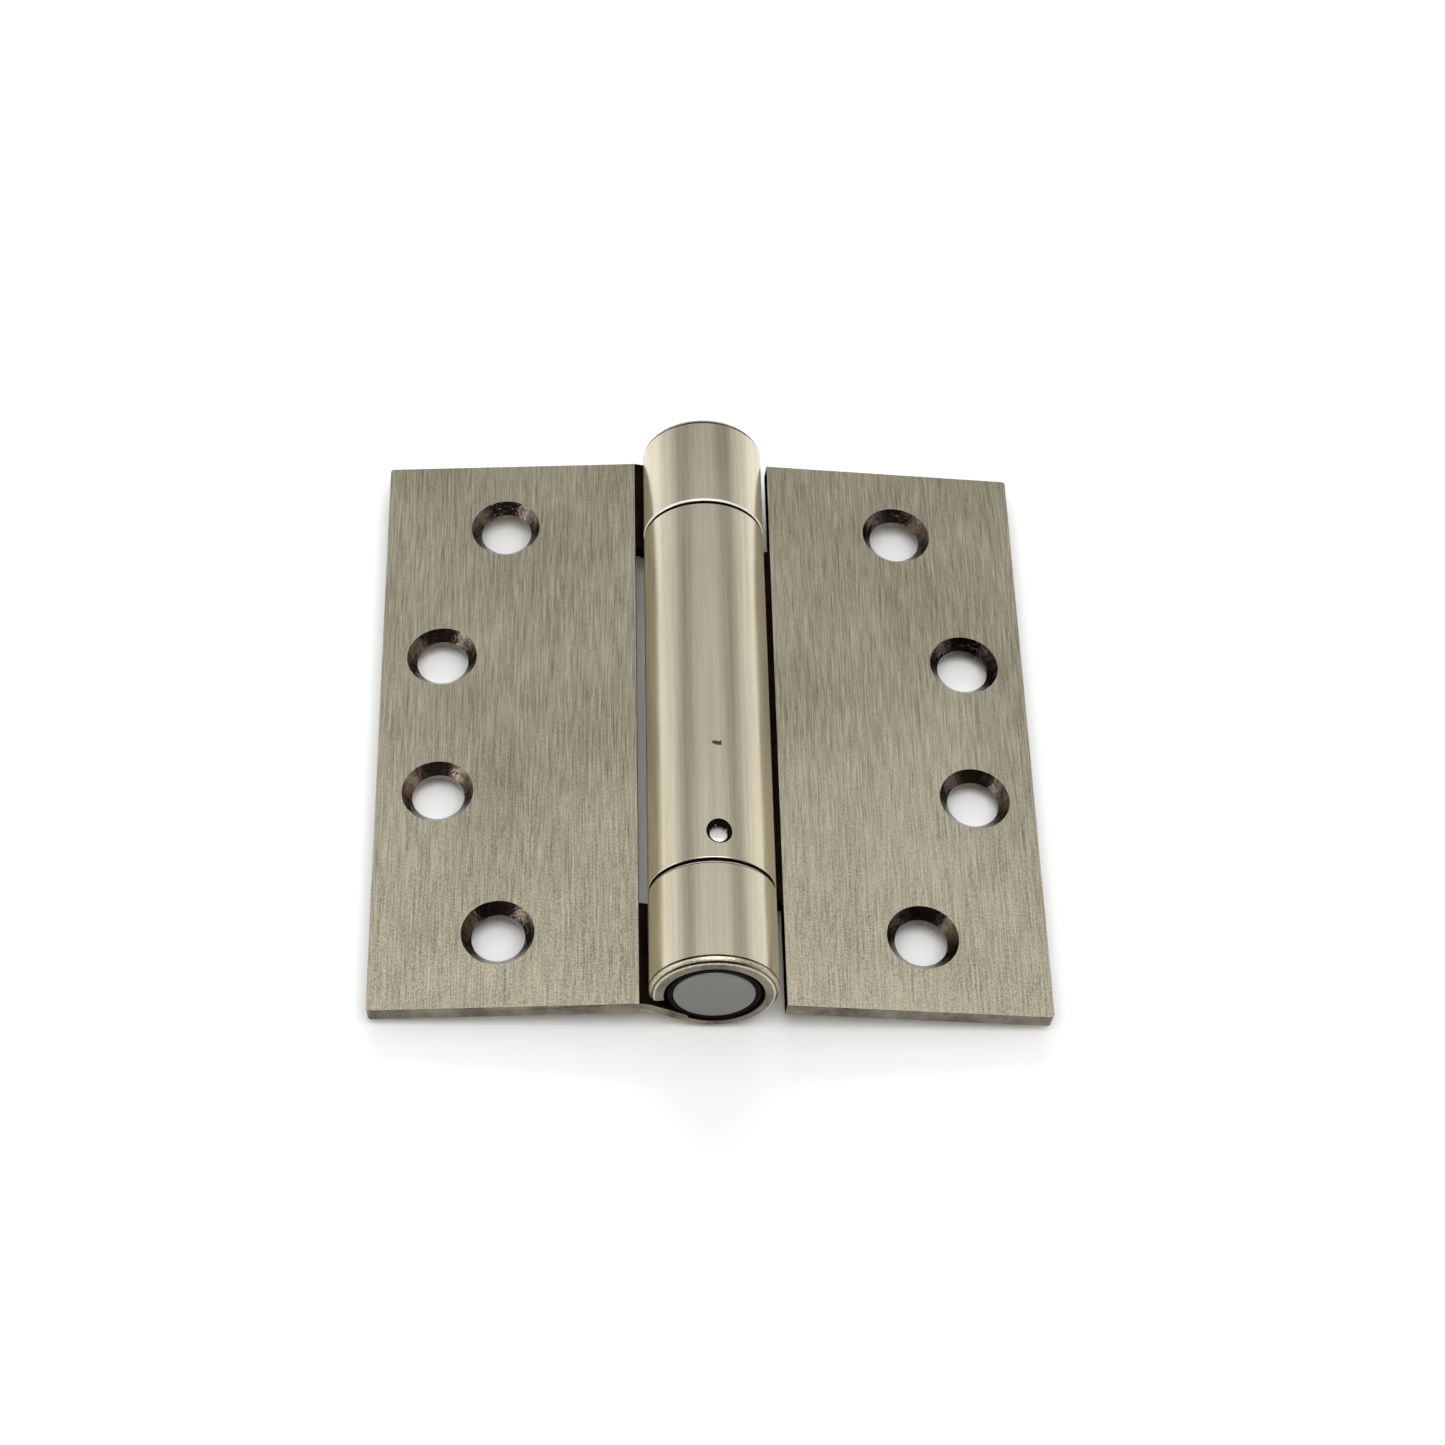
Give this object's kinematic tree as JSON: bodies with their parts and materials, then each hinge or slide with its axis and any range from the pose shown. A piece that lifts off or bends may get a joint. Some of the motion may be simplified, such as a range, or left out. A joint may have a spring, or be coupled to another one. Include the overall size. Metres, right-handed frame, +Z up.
{
  "type": "spring door hinge",
  "caption": "Square-cornered butt hinge for a door, lying open, with rolled knuckles around an enclosed closing spring and countersunk screw holes.",
  "frame": {"origin": "on the ground under the middle of the barrel, which is the centre of the open hinge", "axes": "+Y along the hinge axis towards the anchored spring end, +Z up out of the leaves' front faces, +X towards the door leaf"},
  "size_m": [0.1138, 0.1142, 0.0215],
  "materials": {
    "leaf_nickel": "satin nickel plate, brushed along the hinge axis on the leaves",
    "plug_steel": "turned steel, oiled",
    "pin_steel": "bright drawn steel",
    "spring_steel": "oil-tempered spring wire",
    "cap_grey": "satin grey",
    "bushing_black": "black nylon"
  },
  "bodies": {
    "frame_side": {"frame_leaf": "leaf_nickel", "anchor_plug": "plug_steel", "anchor_pin": "pin_steel", "near_bushing": "bushing_black", "torsion_spring": "spring_steel"},
    "door_side": {"door_leaf": "leaf_nickel", "far_bushing": "bushing_black"},
    "adjuster": {"tension_plug": "plug_steel"},
    "lock_pin": {"tension_pin": "pin_steel"},
    "cap": {"socket_cap": "cap_grey"}
  },
  "joints": [
    {"name": "door_swing", "type": "hinge", "parent": "frame_side", "child": "door_side", "pos_m": [0, 0, 0.01075], "axis": [0, -1, 0], "range_deg": [-82, 188], "deforming": ["torsion_spring"]},
    {"name": "tension_turn", "type": "hinge", "parent": "door_side", "child": "adjuster", "pos_m": [0, 0, 0.01075], "axis": [0, 1, 0], "range_deg": [0, 360], "deforming": ["torsion_spring"]},
    {"name": "tension_pin_slide", "type": "slide", "parent": "door_side", "child": "lock_pin", "axis": [0.0698, 0, 0.9976], "range_m": [-0.0018, 0.008]},
    {"name": "cap_pull", "type": "slide", "parent": "adjuster", "child": "cap", "axis": [0, -1, 0], "range_m": [0, 0.012]}
  ]
}
